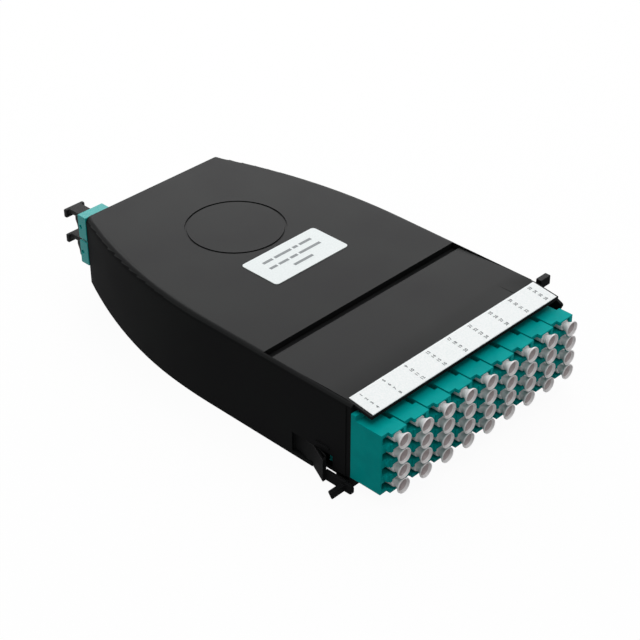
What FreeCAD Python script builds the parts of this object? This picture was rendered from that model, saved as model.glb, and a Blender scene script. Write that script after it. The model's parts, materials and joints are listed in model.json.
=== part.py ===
import FreeCAD, Part
import math
import os
import Sketcher

# Fibre cassette for a 1U patch frame.
# X runs along the front from left to right, Y from the front to the rear and Z up.
# The origin lies on the underside, midway along the front face of the housing.

Vector = FreeCAD.Vector
doc = FreeCAD.newDocument("FibreCassette")

# Driving dimensions in millimetres. Counts have no unit.
dimensions = {
    # ports and adapters
    "column_count": 9,
    "row_count": 4,
    "port_pitch": 6.25,
    "column_pitch": 11.1,
    "column_gap": 0.65,
    "latch_side": 6.6,
    "adapter_trim": 0.4,
    "adapter_front": 15.8,
    "adapter_back": 9.0,
    "adapter_inset": 2.0,
    "collar_depth": 2.05,
    "collar_rise": 2.1,
    "nose_length": 1.6,
    "nose_left": 3.4,
    "lobe_radius": 1.5,
    "lobe_length": 1.1,
    "port_width": 4.8,
    "port_depth": 11.0,
    "channel_height": 3.0,
    "channel_width": 3.5,
    "channel_depth": 7.0,
    "barrel_length": 5.0,
    "notch_width": 1.7,
    "notch_length": 6.6,
    "notch_front": 4.3,
    "notch_height": 3.0,
    # sleeves and plugs
    "sleeve_radius": 0.8,
    "sleeve_bore": 0.625,
    "sleeve_stand": 0.6,
    "sleeve_gap": 0.05,
    "plug_length": 15.0,
    "boot_length": 12.0,
    "boot_radius": 1.9,
    "fibre_radius": 0.9,
    "comb_depth": 3.0,
    "comb_width": 2.4,
    # dust caps
    "cap_gap": 0.35,
    "cap_reach": 3.1,
    "cap_rim": 0.5,
    "cap_wall": 0.35,
    "cap_dish": 2.2,
    "cap_neck": 1.7,
    "cap_tip": 1.0,
    # housing
    "bezel_margin": 5.05,
    "side_post": 2.1,
    "bezel_depth": 2.2,
    "bezel_step": 0.3,
    "housing_depth": 152.3,
    "side_straight": 67.5,
    "side_radius": 229.0,
    "flat_bottom": 88.0,
    "rear_rise": 5.9,
    "shell_wall": 1.5,
    "cover_wall": 1.2,
    "cover_height": 4.0,
    "edge_round": 2.2,
    "lip_depth": 1.8,
    "lip_wall": 1.0,
    "lip_start": 5.0,
    "lip_clearance": 2.0,
    "fit_gap": 0.15,
    "run_gap": 0.3,
    "shelf_width": 2.0,
    "shelf_margin": 1.0,
    # front cover
    "panel_depth": 36.4,
    "panel_flush": 11.0,
    "panel_recess": 0.85,
    "panel_wall": 1.3,
    "groove_width": 3.3,
    "groove_depth": 2.5,
    "tongue_depth": 6.0,
    "tongue_wall": 1.0,
    "stiffener_width": 2.5,
    "ledge_back": 1.0,
    "ledge_reach": 9.9,
    "ledge_drop": 1.45,
    "ledge_wall": 1.3,
    "mark_x": 38.0,
    "mark_front": 1.8,
    "mark_back": 9.5,
    "mark_width": 0.4,
    "mark_depth": 0.3,
    # labels
    "strip_margin": 2.6,
    "strip_thickness": 0.25,
    "strip_edge": 0.2,
    "sticker_width": 37.8,
    "sticker_depth": 18.7,
    "sticker_corner": 1.5,
    "sticker_thickness": 0.2,
    "sticker_x": 1.7,
    "sticker_y": 75.3,
    # fibre drum and the ring that marks it
    "drum_x": 0.8,
    "drum_y": 106.3,
    "ring_radius": 19.1,
    "ring_width": 0.5,
    "ring_depth": 0.4,
    "drum_inset": 2.1,
    "drum_wall": 1.5,
    "drum_height": 22.0,
    # side latches
    "hinge_y": 26.0,
    "hinge_inset": 1.9,
    "knuckle_radius": 1.3,
    "boss_size": 3.0,
    "boss_wall": 1.0,
    "leaf_wall": 1.3,
    "leaf_height": 7.6,
    "leaf_inset": 0.1,
    "leaf_bend": 4.0,
    "leaf_crank": 3.0,
    "leaf_end": 15.0,
    "wing_tip": 6.8,
    "wing_reach": 3.7,
    "slot_wall": 1.0,
    "slot_depth": 6.0,
    # front end of the left latch, near the underside
    "left_bar_reach": 2.2,
    "left_bar_front": 1.8,
    "bar_height": 4.0,
    "floor_margin": 0.15,
    "left_ear_reach": 8.0,
    "left_ear_back": 0.2,
    "left_ear_top": 2.7,
    "left_ear_toe": 0.6,
    "left_ear_heel": 0.6,
    "tab_reach": 3.3,
    "tab_height": 3.6,
    "tab_round": 1.2,
    # front end of the right latch, near the top
    "leaf_drop": 5.7,
    "right_bar_reach": 1.5,
    "right_bar_front": 0.6,
    "right_ear_reach": 6.0,
    "right_ear_back": 1.8,
    "right_ear_height": 3.7,
    "right_ear_round": 0.6,
    "pad_reach": 10.5,
    "pad_nose_drop": 6.1,
    "pad_brow_reach": 6.7,
    "pad_brow_drop": 4.4,
    "pad_chin_reach": 8.6,
    "pad_chin_drop": 10.7,
    "pad_foot_drop": 12.1,
    "pad_round": 0.9,
    # rib on the left side wall
    "rib_front": 7.2,
    "rib_back": 13.6,
    "rib_low": 11.6,
    "rib_height": 0.8,
    "rib_stand": 0.5,
    # rear adapters and their caps
    "mpo_width": 12.2,
    "mpo_height": 10.1,
    "mpo_gap": 1.1,
    "mpo_overhang": 0.4,
    "mpo_drop": 0.2,
    "mpo_flange": 4.5,
    "mpo_neck": 16.0,
    "mpo_port_width": 7.8,
    "mpo_port_height": 6.4,
    "mpo_wall": 0.7,
    "mpo_mark": 0.8,
    "mpo_mark_inset": 1.3,
    "mpo_cap_plug": 9.5,
    "mpo_cap_flange": 2.4,
    "mpo_cap_lip": 4.0,
    "mpo_cap_width": 9.4,
    "mpo_cap_waist": 6.4,
    "mpo_cap_reach": 8.2,
    "mpo_cap_step": 0.3,
    "mpo_cap_root": 1.2,
    "mpo_bar_depth": 1.7,
    "mpo_bar_height": 3.5,
    "mpo_plug_length": 16.0,
    "mpo_boot_length": 12.0,
    "mpo_boot_radius": 2.2,
    # fibre harness
    "feeder_radius": 1.5,
    "feeder_straight": 12.0,
    "feeder_entry": 7.0,
    "feeder_spacing": 4.0,
    "block_margin": 1.6,
    "block_depth": 10.0,
    "block_height": 8.0,
    "block_front": 70.0,
    "outlet_pitch": 3.1,
    "spread_run": 16.7,
}


class Size:
    """A length that knows its number and the sheet expression it comes from."""

    def __init__(self, value, text):
        self.value = float(value)
        self.text = text

    def __add__(self, other):
        other = size(other)
        return Size(self.value + other.value, f"({self.text} + {other.text})")

    def __sub__(self, other):
        other = size(other)
        return Size(self.value - other.value, f"({self.text} - {other.text})")

    def __mul__(self, other):
        other = size(other)
        return Size(self.value * other.value, f"({self.text} * {other.text})")

    def __truediv__(self, other):
        other = size(other)
        return Size(self.value / other.value, f"({self.text} / {other.text})")

    def __radd__(self, other):
        return size(other) + self

    def __rsub__(self, other):
        return size(other) - self

    def __rmul__(self, other):
        return size(other) * self

    def __neg__(self):
        return Size(-self.value, f"(-1 * {self.text})")


def size(value):
    return value if isinstance(value, Size) else Size(value, f"({value})")


def root(value):
    return Size(math.sqrt(value.value), f"sqrt({value.text})")


def make_sheet():
    sheet = doc.addObject("Spreadsheet::Sheet", "Sizes")
    for row, (name, value) in enumerate(dimensions.items(), start=1):
        sheet.set(f"A{row}", name)
        sheet.set(f"B{row}", str(value))
        sheet.setAlias(f"B{row}", name)
    doc.recompute()
    return {name: Size(value, f"Sizes.{name}") for name, value in dimensions.items()}


S = make_sheet()
overshoot = size(1)  # how far a cutting tool reaches past the form that it cuts
tolerance = 0.01  # the difference at which two coordinates still count as one
columns = dimensions["column_count"]
rows = dimensions["row_count"]

# Sizes that several pieces share, all worked out from the sheet.
housing_width = S["column_count"] * S["column_pitch"] + S["side_post"]
housing_height = S["row_count"] * S["port_pitch"] + 2 * S["bezel_margin"]
half_width = housing_width / 2
mid_height = housing_height / 2
split_height = housing_height - S["cover_height"]
cover_under = housing_height - S["cover_wall"]
adapter_half = (S["row_count"] * S["port_pitch"] - S["adapter_trim"]) / 2
adapter_top = mid_height + adapter_half
adapter_right = S["column_pitch"] - S["column_gap"] - S["latch_side"]
window_low = mid_height - adapter_half - S["fit_gap"]
window_top = adapter_top + S["fit_gap"]
nose_front = S["adapter_front"] + S["nose_length"]
partition_front = nose_front - S["port_depth"]
partition_back = partition_front - S["barrel_length"]
first_row = mid_height + S["port_pitch"] * (S["row_count"] - 1) / 2
opening_half = half_width - S["shell_wall"]
rear_run = S["housing_depth"] - S["side_straight"]
rear_half = half_width - S["side_radius"] + root(S["side_radius"] * S["side_radius"] - rear_run * rear_run)
mpo_x = S["mpo_width"] / 2 - S["mpo_overhang"] - rear_half
mpo_neck_half = S["mpo_port_width"] / 2 + S["mpo_wall"]
mpo_neck_rise = S["mpo_port_height"] / 2 + S["mpo_wall"]
mpo_upper = housing_height - S["mpo_drop"] - S["mpo_height"] / 2
mpo_lower = mpo_upper - S["mpo_height"] - S["mpo_gap"]
plug_front = partition_back - S["sleeve_stand"] - S["fit_gap"]
plug_back = S["plug_length"] - plug_front
boot_back = plug_back + S["boot_length"]


def column_x(column):
    return S["latch_side"] - half_width + S["column_pitch"] * column


def row_z(row):
    return first_row - S["port_pitch"] * row


# ---- drawing helpers ----

def new_body(label):
    body = doc.addObject("PartDesign::Body", label)
    body.Label = label
    return body


def origin_feature(body, role):
    return next(item for item in body.Origin.OriginFeatures if item.Role == role)


def new_sketch(body, name, role, offset):
    sketch = body.newObject("Sketcher::SketchObject", name)
    sketch.AttachmentSupport = [(origin_feature(body, role), "")]
    sketch.MapMode = "FlatFace"
    sketch.setExpression("AttachmentOffset.Base.z", size(offset).text)
    return sketch


def pin_point(sketch, line, point, x, y):
    """Ties one end of a line, or a centre, to its place."""
    for kind, value in (("DistanceX", x), ("DistanceY", y)):
        value = size(value)
        index = sketch.addConstraint(Sketcher.Constraint(kind, line, point, value.value))
        sketch.setExpression(f"Constraints[{index}]", value.text)


def polygon(sketch, points):
    corners = [(size(x), size(y)) for x, y in points]
    lines = []
    for (x, y), (next_x, next_y) in zip(corners, corners[1:] + corners[:1]):
        start = Vector(x.value, y.value, 0)
        end = Vector(next_x.value, next_y.value, 0)
        lines.append(sketch.addGeometry(Part.LineSegment(start, end)))
    for line, follower in zip(lines, lines[1:] + lines[:1]):
        sketch.addConstraint(Sketcher.Constraint("Coincident", line, 2, follower, 1))
    for line, (x, y) in zip(lines, corners):
        pin_point(sketch, line, 1, x, y)


def rectangle(sketch, x0, x1, y0, y1):
    polygon(sketch, [(x0, y0), (x1, y0), (x1, y1), (x0, y1)])


def circle(sketch, x, y, radius):
    x, y, radius = size(x), size(y), size(radius)
    shape = Part.Circle(Vector(x.value, y.value, 0), Vector(0, 0, 1), radius.value)
    line = sketch.addGeometry(shape)
    pin_point(sketch, line, 3, x, y)
    index = sketch.addConstraint(Sketcher.Constraint("Radius", line, radius.value))
    sketch.setExpression(f"Constraints[{index}]", radius.text)


def extrude(body, name, role, low, high, draw, cut=False):
    """Pads or cuts from one coordinate to another along the axis that the plane faces."""
    low, high = size(low), size(high)
    start = -high if role == "XZ_Plane" else low  # this plane faces the front
    sketch = new_sketch(body, f"{name}_sketch", role, start)
    draw(sketch)
    before = body.Tip
    feature = body.newObject("PartDesign::Pocket" if cut else "PartDesign::Pad", name)
    feature.Profile = sketch
    feature.Reversed = cut
    feature.setExpression("Length", (high - low).text)
    doc.recompute()
    if before is not None:
        change = feature.Shape.Volume - before.Shape.Volume
        if change == 0 or (change < 0) != cut:
            raise RuntimeError(f"{name} in {body.Label} changed the volume by {change}")
    return feature


def repeat(body, name, features, axis, spacing, count):
    if count.value < 2:
        return body.Tip
    pattern = body.newObject("PartDesign::LinearPattern", name)
    pattern.Originals = features
    pattern.Direction = (origin_feature(body, axis), [""])
    pattern.Reversed = True
    pattern.setExpression("Length", (spacing * (count - 1)).text)
    pattern.setExpression("Occurrences", count.text)
    body.Tip = pattern
    doc.recompute()
    return pattern


def round_edges(body, name, radius, wanted):
    base = body.Tip
    edges = [f"Edge{i}" for i, edge in enumerate(base.Shape.Edges, start=1) if wanted(edge)]
    fillet = body.newObject("PartDesign::Fillet", name)
    fillet.Base = (base, edges)
    fillet.setExpression("Radius", size(radius).text)
    doc.recompute()
    return fillet


def lies_at(edge, **coordinates):
    """True where the whole edge keeps to each coordinate given."""
    box = edge.BoundBox
    limits = {"x": (box.XMin, box.XMax), "y": (box.YMin, box.YMax), "z": (box.ZMin, box.ZMax)}
    return all(abs(value - place.value) < tolerance
               for axis, place in coordinates.items() for value in limits[axis])


def box(name, x0, x1, y0, y1, z0, z1):
    solid = doc.addObject("Part::Box", name)
    spans = (("Length", "x", x0, x1), ("Width", "y", y0, y1), ("Height", "z", z0, z1))
    for side, axis, low, high in spans:
        low, high = size(low), size(high)
        solid.setExpression(side, (high - low).text)
        solid.setExpression(f"Placement.Base.{axis}", low.text)
    return solid


def cylinder(name, x, y, z0, z1, radius):
    solid = doc.addObject("Part::Cylinder", name)
    solid.setExpression("Radius", size(radius).text)
    solid.setExpression("Height", (size(z1) - size(z0)).text)
    for axis, place in (("x", x), ("y", y), ("z", z0)):
        solid.setExpression(f"Placement.Base.{axis}", size(place).text)
    return solid


def cut(label, base, tools):
    tool = tools[0] if len(tools) == 1 else fuse(f"{label}_tools", tools)
    result = doc.addObject("Part::Cut", label)
    result.Label = label
    result.Base = base
    result.Tool = tool
    doc.recompute()
    return result


def fuse(label, shapes):
    result = doc.addObject("Part::MultiFuse", label)
    result.Label = label
    result.Shapes = shapes
    result.Refine = True
    doc.recompute()
    return result


# ---- housing ----

def plan_outline(sketch, inset, front):
    """Straight sides that turn in along an arc to the narrower rear."""
    side = half_width - inset
    rear = S["housing_depth"] - inset
    radius = S["side_radius"] - inset
    centre = half_width - S["side_radius"]
    run = rear.value - S["side_straight"].value
    angle = math.asin(run / radius.value)
    rear_x = centre.value + radius.value * math.cos(angle)
    bend = S["side_straight"].value
    right = Part.Circle(Vector(centre.value, bend, 0), Vector(0, 0, 1), radius.value)
    left = Part.Circle(Vector(-centre.value, bend, 0), Vector(0, 0, 1), radius.value)
    pieces = [
        Part.LineSegment(Vector(-side.value, front.value, 0), Vector(side.value, front.value, 0)),
        Part.LineSegment(Vector(side.value, front.value, 0), Vector(side.value, bend, 0)),
        Part.ArcOfCircle(right, 0, angle),
        Part.LineSegment(Vector(rear_x, rear.value, 0), Vector(-rear_x, rear.value, 0)),
        Part.ArcOfCircle(left, math.pi - angle, math.pi),
        Part.LineSegment(Vector(-side.value, bend, 0), Vector(-side.value, front.value, 0)),
    ]
    front_line, right_line, right_arc, rear_line, left_arc, left_line = (
        sketch.addGeometry(piece) for piece in pieces)
    joins = [(front_line, 2, right_line, 1), (right_line, 2, right_arc, 1), (right_arc, 2, rear_line, 1),
             (rear_line, 2, left_arc, 1), (left_arc, 2, left_line, 1), (left_line, 2, front_line, 1)]
    for join in joins:
        sketch.addConstraint(Sketcher.Constraint("Coincident", *join))
    sketch.addConstraint(Sketcher.Constraint("Horizontal", rear_line))
    pin_point(sketch, front_line, 1, -side, front)
    pin_point(sketch, right_line, 1, side, front)
    pin_point(sketch, right_arc, 3, centre, S["side_straight"])
    pin_point(sketch, left_arc, 3, -centre, S["side_straight"])
    pin_point(sketch, right_line, 2, side, S["side_straight"])
    pin_point(sketch, left_line, 1, -side, S["side_straight"])
    index = sketch.addConstraint(Sketcher.Constraint("DistanceY", rear_line, 1, rear.value))
    sketch.setExpression(f"Constraints[{index}]", rear.text)


def underside_outline(sketch, lift, top):
    """Side view: a flat underside that curves up towards the rear."""
    run = S["housing_depth"] - S["flat_bottom"]
    radius = (run * run + S["rear_rise"] * S["rear_rise"]) / (2 * S["rear_rise"])
    reach = S["housing_depth"] + overshoot
    inner = radius - lift
    angle = math.asin((reach.value - S["flat_bottom"].value) / inner.value)
    end_z = radius.value - inner.value * math.cos(angle)
    front = -S["bezel_depth"] - overshoot
    bend = S["flat_bottom"]
    bend_circle = Part.Circle(Vector(bend.value, radius.value, 0), Vector(0, 0, 1), inner.value)
    pieces = [
        Part.LineSegment(Vector(front.value, lift.value, 0), Vector(bend.value, lift.value, 0)),
        Part.ArcOfCircle(bend_circle, -math.pi / 2, angle - math.pi / 2),
        Part.LineSegment(Vector(reach.value, end_z, 0), Vector(reach.value, top.value, 0)),
        Part.LineSegment(Vector(reach.value, top.value, 0), Vector(front.value, top.value, 0)),
        Part.LineSegment(Vector(front.value, top.value, 0), Vector(front.value, lift.value, 0)),
    ]
    floor_line, arc, rear_line, top_line, front_line = (sketch.addGeometry(piece) for piece in pieces)
    joins = [(floor_line, 2, arc, 1), (arc, 2, rear_line, 1), (rear_line, 2, top_line, 1),
             (top_line, 2, front_line, 1), (front_line, 2, floor_line, 1)]
    for join in joins:
        sketch.addConstraint(Sketcher.Constraint("Coincident", *join))
    pin_point(sketch, floor_line, 1, front, lift)
    pin_point(sketch, floor_line, 2, bend, lift)
    pin_point(sketch, arc, 3, bend, radius)
    pin_point(sketch, top_line, 1, reach, top)
    pin_point(sketch, top_line, 2, front, top)
    sketch.addConstraint(Sketcher.Constraint("Vertical", rear_line))


def tapered_form(label, inset, lift, front, top):
    """The outline of the housing in plan, cut off below by its curved underside."""
    body = new_body(label)
    inset, lift, front, top = size(inset), size(lift), size(front), size(top)
    extrude(body, f"{label}_plan", "XY_Plane", -overshoot, top, lambda s: plan_outline(s, inset, front))
    side = doc.addObject("PartDesign::Body", f"{label}_side")
    reach = half_width + overshoot
    extrude(side, f"{label}_profile", "YZ_Plane", -reach, reach, lambda s: underside_outline(s, lift, top))
    form = doc.addObject("Part::Common", f"{label}_form")
    form.Base = body
    form.Tool = side
    doc.recompute()
    return form


def latch_side_box(name, hand, depth, y0, y1, z0, z1):
    """A box that is cut into one side wall from outside."""
    inner, outer = half_width - depth, half_width + overshoot
    if hand > 0:
        return box(name, inner, outer, y0, y1, z0, z1)
    return box(name, -outer, -inner, y0, y1, z0, z1)


# The left latch sits low and the right one high, so that cassettes side by side interleave.
leaf_low = {-1: S["shell_wall"] + S["run_gap"], 1: housing_height - S["leaf_drop"] - S["leaf_height"]}
leaf_top = {hand: leaf_low[hand] + S["leaf_height"] for hand in (-1, 1)}
hinge_x = half_width - S["hinge_inset"]
leaf_outer = half_width - S["leaf_inset"]
leaf_inner = leaf_outer - S["leaf_wall"]
window_front = -S["bezel_depth"] - overshoot
hinge_front = S["hinge_y"] - S["knuckle_radius"] + S["run_gap"]
ear_window_back = S["right_ear_back"] + S["right_bar_reach"]


def latch_windows(hand):
    """Room in the side wall for the leaf, its knuckle and its travel."""
    name = "left" if hand < 0 else "right"
    low, top = leaf_low[hand] - S["run_gap"], leaf_top[hand] + S["run_gap"]
    wall = S["shell_wall"] + S["run_gap"]
    leaf_depth = S["hinge_inset"] + S["leaf_wall"] / 2 + 2 * S["run_gap"]
    wing_front, wing_back = S["wing_tip"] - S["slot_wall"], S["leaf_end"] + S["run_gap"]
    tools = [
        latch_side_box(f"{name}_leaf_window", hand, leaf_depth, S["leaf_end"], hinge_front, low, top),
        cylinder(f"{name}_socket", hand * hinge_x, S["hinge_y"], low, top,
                 S["knuckle_radius"] + S["run_gap"]),
    ]
    if hand < 0:
        bar_room = S["floor_margin"] + S["bar_height"] + S["run_gap"]
        tools.append(latch_side_box("left_wing_window", hand, leaf_depth, wing_front, wing_back,
                                    -overshoot, top))
        tools.append(latch_side_box("left_bar_window", hand, wall, window_front, S["wing_tip"],
                                    -overshoot, bar_room))
    else:
        tools.append(latch_side_box("right_wing_window", hand, wall, window_front, wing_back, low, top))
        tools.append(latch_side_box("right_ear_window", hand, wall, window_front, ear_window_back,
                                    low, housing_height + overshoot))
    return tools


def hinge_boss(hand):
    """A block inside the side wall that holds the latch's knuckle."""
    name = "left" if hand < 0 else "right"
    inner = hinge_x - S["knuckle_radius"] - S["run_gap"] - S["boss_wall"]
    outer = half_width - S["shell_wall"] / 2
    x0, x1 = (-outer, -inner) if hand < 0 else (inner, outer)
    return box(f"{name}_boss", x0, x1, S["hinge_y"] - S["boss_size"], S["hinge_y"] + S["boss_size"],
               leaf_low[hand] - S["run_gap"] - S["boss_wall"], leaf_top[hand] + S["run_gap"] + S["boss_wall"])


def mpo_slot(name, low, high):
    """The slot in the rear wall that takes the necks of both rear adapters."""
    room = mpo_neck_half + S["fit_gap"]
    return box(name, mpo_x - room, mpo_x + room, S["housing_depth"] - 2 * S["shell_wall"],
               S["housing_depth"] + overshoot, low, high)


def make_base_tray():
    outer = tapered_form("tray_outside", 0, 0, -S["bezel_depth"], split_height)
    inner = tapered_form("tray_inside", S["shell_wall"], S["shell_wall"], 0, split_height + overshoot)
    drum_radius = S["ring_radius"] - S["drum_inset"]
    drum_outside = cylinder("drum_outside", S["drum_x"], S["drum_y"], 0, S["drum_height"], drum_radius)
    drum_inside = cylinder("drum_inside", S["drum_x"], S["drum_y"], 0, S["drum_height"] + overshoot,
                           drum_radius - S["drum_wall"])
    drum = cut("drum_wall_form", drum_outside, [drum_inside])
    shelf_back = S["adapter_back"] - S["shelf_margin"]
    shelf = box("adapter_shelf", -half_width, half_width, shelf_back - S["shelf_width"], shelf_back,
                0, window_low)
    standing = fuse("tray_standing", [drum, shelf, hinge_boss(-1), hinge_boss(1)])
    cavity = cut("tray_cavity", inner, [standing])
    shell = cut("tray_shell", outer, [cavity])
    rib = box("side_rib", -half_width - S["rib_stand"], -opening_half, S["rib_front"], S["rib_back"],
              S["rib_low"], S["rib_low"] + S["rib_height"])
    walls = fuse("tray_walls", [shell, rib])
    # The adapters stand flush with the left side, and a post closes the right side.
    front_window = box("front_window", column_x(0) - (S["latch_side"] - S["adapter_inset"]) - S["fit_gap"],
                       column_x(columns - 1) + adapter_right + 2 * S["fit_gap"],
                       window_front, 0, window_low, split_height + overshoot)
    bezel_seat = box("bezel_seat", -opening_half, opening_half, window_front, 0,
                     window_top - S["fit_gap"], split_height + overshoot)
    steps = [latch_side_box(f"bezel_step_{name}", hand, S["bezel_step"], window_front, 0,
                            -overshoot, housing_height)
             for name, hand in (("left", -1), ("right", 1))]
    neck_low = mpo_lower - mpo_neck_rise - S["fit_gap"]
    openings = [front_window, bezel_seat, mpo_slot("tray_mpo_slot", neck_low, split_height + overshoot),
                *steps, *latch_windows(-1), *latch_windows(1)]
    return cut("base_tray", walls, openings)


def make_top_cover():
    body = new_body("cover_block")
    extrude(body, "cover_pad", "XY_Plane", split_height, housing_height,
            lambda s: plan_outline(s, size(0), -S["bezel_depth"]))
    top = housing_height

    def top_side_edge(edge):
        return lies_at(edge, z=top) and edge.BoundBox.YLength > overshoot.value

    round_edges(body, "cover_round", S["edge_round"], top_side_edge)
    inside = new_body("cover_inside")
    extrude(inside, "cover_hollow", "XY_Plane", split_height - overshoot, cover_under,
            lambda s: plan_outline(s, S["shell_wall"], size(0)))
    groove_back = S["panel_depth"] + S["groove_width"]
    opening = box("panel_opening", -opening_half, opening_half, window_front, groove_back,
                  split_height - overshoot, top + overshoot)
    ring_outside = cylinder("ring_outside", S["drum_x"], S["drum_y"], top - S["ring_depth"], top + overshoot,
                            S["ring_radius"] + S["ring_width"] / 2)
    ring_inside = cylinder("ring_inside", S["drum_x"], S["drum_y"], top - S["ring_depth"], top + overshoot,
                           S["ring_radius"] - S["ring_width"] / 2)
    ring = cut("ring_groove", ring_outside, [ring_inside])
    slot = mpo_slot("cover_mpo_slot", split_height - overshoot, mpo_upper + mpo_neck_rise + S["fit_gap"])
    ear_window = latch_side_box("cover_ear_window", 1, S["shell_wall"] + S["run_gap"], window_front,
                                ear_window_back, split_height - overshoot, top + overshoot)
    steps = [latch_side_box(f"cover_step_{name}", hand, S["bezel_step"], window_front, 0,
                            split_height - overshoot, top + overshoot)
             for name, hand in (("left", -1), ("right", 1))]
    plate = cut("cover_plate", body, [inside, opening, ring, slot, ear_window, *steps])
    # A lip below the rim slips inside the tray and keeps the two shells in line.
    lip_out = new_body("lip_outside")
    extrude(lip_out, "lip_outline", "XY_Plane", split_height - S["lip_depth"], cover_under,
            lambda s: plan_outline(s, S["shell_wall"] + S["fit_gap"], size(0)))
    lip_in = new_body("lip_inside")
    extrude(lip_in, "lip_hollow", "XY_Plane", split_height - S["lip_depth"] - overshoot,
            cover_under + overshoot,
            lambda s: plan_outline(s, S["shell_wall"] + S["fit_gap"] + S["lip_wall"], -overshoot))
    lip_front = box("lip_front", -half_width, half_width, window_front,
                    groove_back + S["lip_start"], 0, top)
    lip_gap = box("lip_gap", mpo_x - S["mpo_width"] / 2 - S["lip_clearance"], mpo_x + S["mpo_width"] / 2,
                  S["housing_depth"] - S["mpo_neck"], S["housing_depth"], 0, top)
    lip = cut("cover_lip", lip_out, [lip_in, lip_front, lip_gap])
    stop_half = opening_half - S["lip_wall"]
    stop = box("cover_stop", -stop_half, stop_half, groove_back, groove_back + S["tongue_wall"],
               top - S["groove_depth"] + S["fit_gap"], cover_under + S["cover_wall"] / 2)
    return fuse("top_cover", [plate, lip, stop])


def make_front_cover():
    """Plate over the adapters: recessed at the finger groove, with a sloping ledge for the port numbers."""
    body = new_body("front_cover")
    top = housing_height
    tip = -S["ledge_reach"]
    slope = S["ledge_drop"] / (S["ledge_back"] + S["ledge_reach"])
    bezel = -S["bezel_depth"]
    ledge_under = top - S["ledge_wall"] - slope * (S["ledge_back"] + S["bezel_depth"])
    panel_under = top - S["panel_recess"] - S["panel_wall"]
    tongue_top = top - S["groove_depth"]
    groove = S["panel_depth"]
    profile = [
        (tip, top - S["ledge_drop"]), (S["ledge_back"], top), (S["panel_flush"], top),
        (groove, top - S["panel_recess"]), (groove, tongue_top), (groove + S["tongue_depth"], tongue_top),
        (groove + S["tongue_depth"], tongue_top - S["tongue_wall"]),
        (groove - S["panel_wall"], tongue_top - S["tongue_wall"]), (groove - S["panel_wall"], panel_under),
        (size(0), panel_under), (size(0), window_top), (bezel, window_top), (bezel, ledge_under),
        (tip, top - S["ledge_drop"] - S["ledge_wall"]),
    ]
    side = opening_half - S["fit_gap"]
    extrude(body, "front_profile", "YZ_Plane", -side, side, lambda s: polygon(s, profile))
    # Ribs below both sides stiffen the panel.
    inner = side - S["stiffener_width"]
    for name, x0, x1 in (("left", -side, -inner), ("right", inner, side)):
        extrude(body, f"panel_rib_{name}", "YZ_Plane", x0, x1,
                lambda s: rectangle(s, S["adapter_back"] + S["shelf_margin"], groove - S["panel_wall"],
                                    tongue_top - S["tongue_wall"], panel_under + S["fit_gap"]))
    half_mark = S["mark_width"] / 2
    mark = [(S["mark_x"] - half_mark, S["mark_front"]), (S["mark_x"] + half_mark, S["mark_front"]),
            (S["mark_x"], S["mark_back"])]
    extrude(body, "top_mark", "XY_Plane", top - S["mark_depth"], top + overshoot,
            lambda s: polygon(s, mark), cut=True)
    return body


def ledge_height(y):
    slope = S["ledge_drop"] / (S["ledge_back"] + S["ledge_reach"])
    return housing_height - slope * (S["ledge_back"] - y)


def make_port_label():
    """Paper strip on the sloping ledge."""
    body = new_body("port_label")
    front = S["strip_edge"] - S["ledge_reach"]
    back = S["ledge_back"]
    rise = S["strip_thickness"]
    half = half_width - S["strip_margin"]
    profile = [(front, ledge_height(front)), (back, ledge_height(back)),
               (back, ledge_height(back) + rise), (front, ledge_height(front) + rise)]
    extrude(body, "strip", "YZ_Plane", -half, half, lambda s: polygon(s, profile))
    return body


def make_product_label():
    body = new_body("product_label")
    half_x, half_y = S["sticker_width"] / 2, S["sticker_depth"] / 2
    x, y = S["sticker_x"], S["sticker_y"]
    extrude(body, "sticker", "XY_Plane", housing_height, housing_height + S["sticker_thickness"],
            lambda s: rectangle(s, x - half_x, x + half_x, y - half_y, y + half_y))
    round_edges(body, "sticker_corners", S["sticker_corner"],
                lambda edge: abs(edge.BoundBox.ZLength - S["sticker_thickness"].value) < tolerance)
    return body


# ---- latches ----

def sided(hand, points):
    return [(hand * x, y) for x, y in points]


def latch_leaf(body, hand, bar_reach):
    """What both latches share: a leaf cranked outwards from its knuckle, and a ramped wing."""
    low, top = leaf_low[hand], leaf_top[hand]
    bar_out = half_width + bar_reach
    bar_in = bar_out - S["leaf_wall"]
    tip_x = half_width + S["wing_reach"]
    end, tip = S["leaf_end"], S["wing_tip"]
    bend = tip + S["slot_wall"]
    straight, crank = S["hinge_y"] - S["leaf_bend"], end + S["leaf_crank"]
    half_leaf = S["leaf_wall"] / 2
    leaf = [(hinge_x + half_leaf, S["hinge_y"]), (hinge_x + half_leaf, straight), (leaf_outer, crank),
            (leaf_outer, end), (tip_x, tip), (bar_out, tip), (bar_in, bend), (leaf_inner, end),
            (leaf_inner, crank), (hinge_x - half_leaf, straight), (hinge_x - half_leaf, S["hinge_y"])]
    extrude(body, "leaf", "XY_Plane", low, top, lambda s: polygon(s, sided(hand, leaf)))
    extrude(body, "knuckle", "XY_Plane", low, top,
            lambda s: circle(s, hand * hinge_x, S["hinge_y"], S["knuckle_radius"]))
    # A slot behind the ramp leaves two ribs, and lets the wing give.
    slope = (tip_x - leaf_outer) / (end - tip)
    slot = [(leaf_outer, end - 2 * S["slot_wall"]), (tip_x - (slope + 1) * S["slot_wall"], bend),
            (bar_in + S["slot_wall"] / 2, bend)]
    extrude(body, "wing_slot", "XY_Plane", top - S["slot_depth"], top + overshoot,
            lambda s: polygon(s, sided(hand, slot)), cut=True)


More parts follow.
